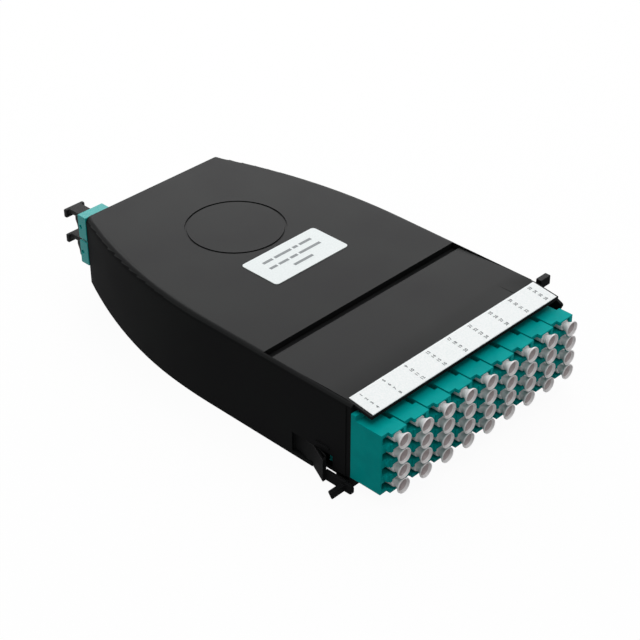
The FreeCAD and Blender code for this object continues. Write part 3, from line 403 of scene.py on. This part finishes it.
ringGroove = {
    "inside": 18.85 * mm,      # radii of the groove's walls as built
    "outside": 19.35 * mm,
    "slack": 0.1 * mm,
    "floor": (0.2 * mm, 0.6 * mm),    # how deep its floor may lie
    "within": 30 * mm,         # from the cover's middle line
    "spread": 0.2 * mm,        # each wall moves this far, so that the groove's shadow reads
}


def spreadRing(mesh):
    # a fine groove loses its shadow under soft light, so its walls stand a little further apart
    r = ringGroove
    shallow, deep = r["floor"]
    top = max(vertex.co.z for vertex in mesh.vertices)
    floor = [v.co for v in mesh.vertices
             if top - deep < v.co.z < top - shallow and abs(v.co.x) < r["within"]]
    middle = Vector(((max(p.x for p in floor) + min(p.x for p in floor)) / 2,
                     (max(p.y for p in floor) + min(p.y for p in floor)) / 2))
    for vertex in mesh.vertices:
        arm = vertex.co.xy - middle
        for wall, shift in ((r["inside"], -r["spread"]), (r["outside"], r["spread"])):
            if abs(arm.length - wall) < r["slack"] and vertex.co.z > top - deep:
                vertex.co.xy = middle + arm.normalized() * (wall + shift)


rounding = {
    "weld": 0.001 * mm,        # corners closer than this are one
    "flat": 0.5,               # degrees under which neighbouring faces count as one plane
    "sharp": 48,               # degrees from which an edge is rounded
    "point": 12,               # edges that meet at fewer degrees than this stay sharp
    "segments": 2,
    "levelling": 100,          # how far the broad faces set the shading beside the radii
}


def weightEdges(built):
    # a weight of 1 marks each edge that gets a radius
    weight = built.edges.layers.float.new("bevel_weight_edge")
    sharp = {edge for edge in built.edges if edge.calc_face_angle(0) > math.radians(rounding["sharp"])}
    for edge in sharp:
        edge[weight] = 1
    for corner in built.verts:
        meeting = [edge for edge in corner.link_edges if edge in sharp]
        for pair in combinations(meeting, 2):
            arms = [edge.other_vert(corner).co - corner.co for edge in pair]
            if arms[0].angle(arms[1]) < math.radians(rounding["point"]):
                pair[0][weight] = pair[1][weight] = 0


def roundedCopy(node, name, radius, material):
    # the node's own form with the small edge radii that a moulding has
    built = bmesh.new()
    built.from_mesh(nodes[node].data)
    bmesh.ops.remove_doubles(built, verts=built.verts, dist=rounding["weld"])
    if node == "top_cover":
        evenFold(built)
    bmesh.ops.dissolve_limit(built, angle_limit=math.radians(rounding["flat"]), verts=built.verts,
                             edges=built.edges)
    weightEdges(built)
    mesh = bpy.data.meshes.new(name)
    built.to_mesh(mesh)
    built.free()
    if node == "top_cover":
        spreadRing(mesh)
    mesh.shade_smooth()
    obj = newPiece(name, mesh, material)
    bevel = obj.modifiers.new("edgeRadius", "BEVEL")
    bevel.width = radius
    bevel.segments = rounding["segments"]
    bevel.limit_method = "WEIGHT"
    bevel.use_clamp_overlap = True
    level = obj.modifiers.new("flatFaces", "WEIGHTED_NORMAL")
    level.weight = rounding["levelling"]
    bpy.context.view_layer.update()
    finished = bpy.data.meshes.new_from_object(obj.evaluated_get(bpy.context.evaluated_depsgraph_get()))
    obj.modifiers.clear()
    obj.data = finished
    standFor(obj, node)
    return obj


def grainTopFaces(mesh):
    # the mould is grained finer on faces that point up, apart from the floors of grooves
    f = housingFinish
    top = max(vertex.co.z for vertex in mesh.vertices)
    for face in mesh.polygons:
        heights = [mesh.vertices[i].co.z for i in face.vertices]
        onFold = face.normal.z > f["leaning"] and (max(heights) + min(heights)) / 2 > top - f["fold"]
        sunk = mesh.name == "topCoverMoulding" and max(heights) < top - f["sunk"] and not onFold
        face.material_index = 1 if not sunk and (onFold or face.normal.z > f["upright"]) else 0


# each moulding's piece, edge radius and finish
mouldings = {
    "base_tray": ("trayMoulding", 0.22 * mm, coarseBlackAbs),
    "top_cover": ("topCoverMoulding", 0.12 * mm, coarseBlackAbs),
    "front_cover": ("frontCoverMoulding", 0.2 * mm, coarseBlackAbs),
    "latch_left": ("leftLatchMoulding", 0.15 * mm, coarseBlackAbs),
    "latch_right": ("rightLatchMoulding", 0.15 * mm, coarseBlackAbs),
    "mpo_adapter_upper": ("upperRearAdapter", 0.2 * mm, polishedAquaPbt),
    "mpo_adapter_lower": ("lowerRearAdapter", 0.2 * mm, polishedAquaPbt),
    "mpo_cap_upper": ("upperRearCap", 0.45 * mm, elastomer),
    "mpo_cap_lower": ("lowerRearCap", 0.45 * mm, elastomer),
}
for column in range(1, columnCount + 1):
    mouldings[f"lc_adapter_{column}"] = (f"portAdapter{column}", 0.13 * mm, satinAquaPbt)
for node, (name, radius, material) in mouldings.items():
    piece = roundedCopy(node, name, radius, material)
    if material is coarseBlackAbs:
        piece.data.materials.append(fineBlackAbs)
        grainTopFaces(piece.data)
print("mouldings rounded")


dustCap = {
    "neck": 1.6 * mm,          # radius where the flare leaves the port
    "plug": 2.1 * mm,
    "lip": 0.16 * mm,          # half the thickness of the rolled rim
    "lipSteps": 6,
    "band": 0.5 * mm,
    "dish": 4.5 * mm,
    "dishRings": 9,
    "crowding": 0.7,           # under 1, so the dish's rings crowd towards its rim
    "shadedDishRings": 7,            # rings of the dish, from its middle, that get the painted shade
    "bowl": 1.1,               # how flat the dish's floor is
    "trumpet": 1.9,            # how late the flare opens
    "flareSteps": 10,
    "shoulder": 0.35 * mm,
    "sides": 44,
    "smooth": 50,              # degrees up to which neighbouring faces shade as one
}


def capProfile(rim, reach, length):
    # (radius, distance behind the rim) from the dish's middle, over the lip and back to the plug's tip
    d = dustCap
    mouth = rim - 2 * d["lip"]
    points = []
    for i in range(d["dishRings"]):
        share = (i / d["dishRings"]) ** d["crowding"]
        points.append((mouth * share, d["lip"] + (d["dish"] - d["lip"]) * (1 - share ** d["bowl"])))
    for i in range(d["lipSteps"] + 1):
        turn = math.pi * i / d["lipSteps"]
        points.append((rim - d["lip"] - d["lip"] * math.cos(turn), d["lip"] * (1 - math.sin(turn))))
    for i in range(d["flareSteps"] + 1):
        share = i / d["flareSteps"]
        points.append((d["neck"] + (rim - d["neck"]) * (1 - share) ** d["trumpet"],
                       d["band"] + (reach - d["band"]) * share))
    back = reach + d["shoulder"]
    points += [(d["neck"], back), (d["plug"] - d["lip"], back), (d["plug"], back + d["lip"]),
               (d["plug"], length - 2 * d["lip"]), (d["plug"] - 2 * d["lip"], length), (0, length)]
    return points


def makeDustCap(column, row):
    d = dustCap
    node = f"dust_cap_{column}_{row}"
    low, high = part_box(node)
    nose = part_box(f"lc_adapter_{column}")[0].y
    centre = Vector(((low.x + high.x) / 2, low.y, (low.z + high.z) / 2))
    built = bmesh.new()
    rings = []
    for radius, back in capProfile((high.x - low.x) / 2, nose - low.y, high.y - low.y):
        if radius == 0:
            rings.append([built.verts.new(centre + Vector((0, back, 0)))] * d["sides"])
            continue
        ring = []
        for i in range(d["sides"]):
            turn = math.tau * i / d["sides"]
            place = centre + Vector((radius * math.cos(turn), back, radius * math.sin(turn)))
            ring.append(built.verts.new(place))
        rings.append(ring)
    for ring, following in zip(rings, rings[1:]):
        for i in range(d["sides"]):
            beside = (i + 1) % d["sides"]
            corners = [ring[i], ring[beside], following[beside], following[i]]
            built.faces.new(list(dict.fromkeys(corners)))    # a pole's faces have three corners
    bmesh.ops.recalc_face_normals(built, faces=built.faces)
    mesh = bpy.data.meshes.new(f"dustCap{column}row{row}")
    built.to_mesh(mesh)
    built.free()
    mesh.shade_smooth()
    mesh.set_sharp_from_angle(angle=math.radians(d["smooth"]))
    standFor(newPiece(f"dustCap{column}row{row}", mesh, naturalPe), node)
    # the middle rings of the dish take the dim colour, as painted shade in its hollow
    mesh.materials.append(dishShadePe)
    for face in mesh.polygons:
        face.material_index = 1 if face.index < d["shadedDishRings"] * d["sides"] else 0


for column in range(1, columnCount + 1):
    for row in range(1, rowCount + 1):
        makeDustCap(column, row)
print("dust caps turned")


numbers = {
    "height": 1.75 * mm,
    "bold": 0.05 * mm,
    "curveSteps": 3,
    "above": 0.03 * mm,
    "rowPitch": 2.45 * mm,
    "edge": 0.5 * mm,          # corners this close to the strip's front or back belong to that edge
}


def stripFrame():
    # the strip's upper face: its front and back edge, read from the label's own mesh
    points = [v.co.copy() for v in nodes["port_label"].data.vertices]
    low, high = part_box("port_label")
    front = max((p for p in points if abs(p.y - low[1]) < numbers["edge"]), key=lambda p: p.z)
    back = max((p for p in points if abs(p.y - high[1]) < numbers["edge"]), key=lambda p: p.z)
    return Vector((0, front.y, front.z)), Vector((0, back.y, back.z))


def textMesh(text):
    curve = bpy.data.curves.new("digits", "FONT")
    curve.body = text
    curve.size = numbers["height"]
    curve.offset = numbers["bold"]
    curve.align_x, curve.align_y = "CENTER", "CENTER"
    curve.resolution_u = numbers["curveSteps"]
    obj = bpy.data.objects.new("digits", curve)
    bpy.context.collection.objects.link(obj)
    bpy.context.view_layer.update()
    mesh = bpy.data.meshes.new_from_object(obj.evaluated_get(bpy.context.evaluated_depsgraph_get()))
    bpy.data.objects.remove(obj)
    return mesh


def printPiece(name, built, ink):
    # printing lies on a label, and rides on the main body
    mesh = bpy.data.meshes.new(name)
    built.to_mesh(mesh)
    built.free()
    obj = newPiece(name, mesh, ink)
    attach(obj, mainBody)


def makePortNumbers():
    # the ports are numbered down each column of caps, and on from column to column
    front, back = stripFrame()
    along = (back - front).normalized()
    up = Vector((1, 0, 0)).cross(along)
    middle = (front + back) / 2
    built = bmesh.new()
    for column in range(columnCount):
        low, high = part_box(f"dust_cap_{column + 1}_1")
        x = (low.x + high.x) / 2
        for row in range(rowCount):
            mesh = textMesh(str(column * rowCount + row + 1))
            rowsUp = (rowCount - 1) / 2 - row
            centre = middle + along * rowsUp * numbers["rowPitch"] + up * numbers["above"]
            turn = Matrix((Vector((1, 0, 0)), along, up)).transposed().to_4x4()
            turn.translation = Vector((x, centre.y, centre.z))
            mesh.transform(turn)
            built.from_mesh(mesh)
    printPiece("portNumbers", built, digitInk)


labelPrint = {
    "rows": ((4, 7, 2, 5), (3, 4, 3, 9), (8,)),    # lengths of the dashes, in letters
    "letter": 1.22 * mm,
    "gap": 1.0 * mm,
    "height": 1.35 * mm,
    "rowPitch": 4.3 * mm,
    "above": 0.03 * mm,
}


def makeLabelPrint():
    # plain grey dashes where the label has its wording
    p = labelPrint
    low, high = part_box("product_label")
    z = high.z + p["above"]
    built = bmesh.new()
    for row, words in enumerate(p["rows"]):
        width = sum(words) * p["letter"] + (len(words) - 1) * p["gap"]
        x = (low.x + high.x - width) / 2
        y = (low.y + high.y) / 2 + ((len(p["rows"]) - 1) / 2 - row) * p["rowPitch"]
        bottom, top = y - p["height"] / 2, y + p["height"] / 2
        for letters in words:
            end = x + letters * p["letter"]
            corners = [(x, bottom, z), (end, bottom, z), (end, top, z), (x, top, z)]
            built.faces.new([built.verts.new(corner) for corner in corners])
            x = end + p["gap"]
    printPiece("labelDashes", built, printedGrey)


makePortNumbers()
makeLabelPrint()
print("labels printed")


studio = {
    "floor": "#fafafa",
    "bounce": "#a0a0a0",       # what the floor gives back to the object
    "halfWidth": 3,            # of the floor, in metres
    "shadowShare": 0.05,
    "topLight": 3.7,           # watts
    "topSize": 0.9,
    "topHeight": 0.8,
    "rearLight": 5.2,
    "rearSize": 0.9,
    "rearDistance": 1.1,
    "rearDirection": (0.599, 0.594, 0.537),
    "worldLight": 0.36,
}
white = (1, 1, 1, 1)


def seenDirectly(tree):
    # 1 for rays from the camera, in reflections and through clear walls, 0 for the light on the object
    path = addNode(tree, "ShaderNodeLightPath")
    direct = addNode(tree, "ShaderNodeMath", {"operation": "MAXIMUM"},
                     links={0: (path, "Is Camera Ray"), 1: (path, "Is Transmission Ray")})
    return addNode(tree, "ShaderNodeMath", {"operation": "MAXIMUM"},
                   links={0: (direct, "Value"), 1: (path, "Is Glossy Ray")})


def studioPaper():
    # matt white paper: clean to the eye, with a faint shadow, and duller in the light that it gives back
    material, tree = newMaterial("studioFloor")
    paper = addNode(tree, "ShaderNodeBsdfDiffuse", inputs={"Color": hexToLinear(studio["floor"])})
    glow = addNode(tree, "ShaderNodeEmission", inputs={"Color": white, "Strength": 1.0})
    pale = addNode(tree, "ShaderNodeMixShader", inputs={0: 1 - studio["shadowShare"]},
                   links={1: (paper, 0), 2: (glow, 0)})
    bounce = addNode(tree, "ShaderNodeBsdfDiffuse", inputs={"Color": hexToLinear(studio["bounce"])})
    mix = addNode(tree, "ShaderNodeMixShader",
                  links={0: (seenDirectly(tree), "Value"), 1: (bounce, 0), 2: (pale, 0)})
    addNode(tree, "ShaderNodeOutputMaterial", links={"Surface": (mix, 0)})
    return material


def makeFloor():
    w = studio["halfWidth"]
    mesh = bpy.data.meshes.new("floor")
    mesh.from_pydata([(-w, -w, 0), (w, -w, 0), (w, w, 0), (-w, w, 0)], [], [(0, 1, 2, 3)])
    newPiece("floor", mesh, studioPaper())


def makeWorld():
    world = bpy.data.worlds.new("studio")
    bpy.context.scene.world = world
    world.use_nodes = True
    tree = world.node_tree
    tree.nodes.clear()
    dim = addNode(tree, "ShaderNodeBackground", inputs={"Color": white, "Strength": studio["worldLight"]})
    clean = addNode(tree, "ShaderNodeBackground", inputs={"Color": white, "Strength": 1.0})
    mix = addNode(tree, "ShaderNodeMixShader",
                  links={0: (seenDirectly(tree), "Value"), 1: (dim, 0), 2: (clean, 0)})
    addNode(tree, "ShaderNodeOutputWorld", links={"Surface": (mix, 0)})


def makeSoftbox(name, watts, size, location, target):
    lamp = bpy.data.lights.new(name, "AREA")
    lamp.energy = watts
    lamp.size = size
    obj = bpy.data.objects.new(name, lamp)
    obj.location = location
    obj.rotation_euler = (target - location).to_track_quat("-Z", "Y").to_euler()
    obj.visible_camera = False
    bpy.context.collection.objects.link(obj)


def makeLights():
    low, high = cadBounds
    middle = Vector(((low[0] + high[0]) / 2, (low[1] + high[1]) / 2, 0))
    makeSoftbox("overheadSoftbox", studio["topLight"], studio["topSize"],
                middle + Vector((0, 0, studio["topHeight"])), middle)
    makeSoftbox("rearSoftbox", studio["rearLight"], studio["rearSize"],
                middle + Vector(studio["rearDirection"]) * studio["rearDistance"], middle)


cameraPlace = {
    "location": (-0.3683, -0.2954, 0.3619),
    "azimuth": -45.94,
    "elevation": 34.17,
    "lens": 93.93,
    "sensor": 36,
    "clip": (0.01, 20),
}


def makeCamera():
    c = cameraPlace
    data = bpy.data.cameras.new("camera")
    data.lens = c["lens"]
    data.sensor_width = c["sensor"]
    data.clip_start, data.clip_end = c["clip"]
    camera = bpy.data.objects.new("camera", data)
    camera.location = c["location"]
    camera.rotation_euler = (math.radians(90 - c["elevation"]), 0, math.radians(c["azimuth"]))
    bpy.context.collection.objects.link(camera)
    bpy.context.scene.camera = camera


makeFloor()
makeWorld()
makeLights()
makeCamera()
bpy.context.scene.view_settings.view_transform = "Standard"
print("studio set")
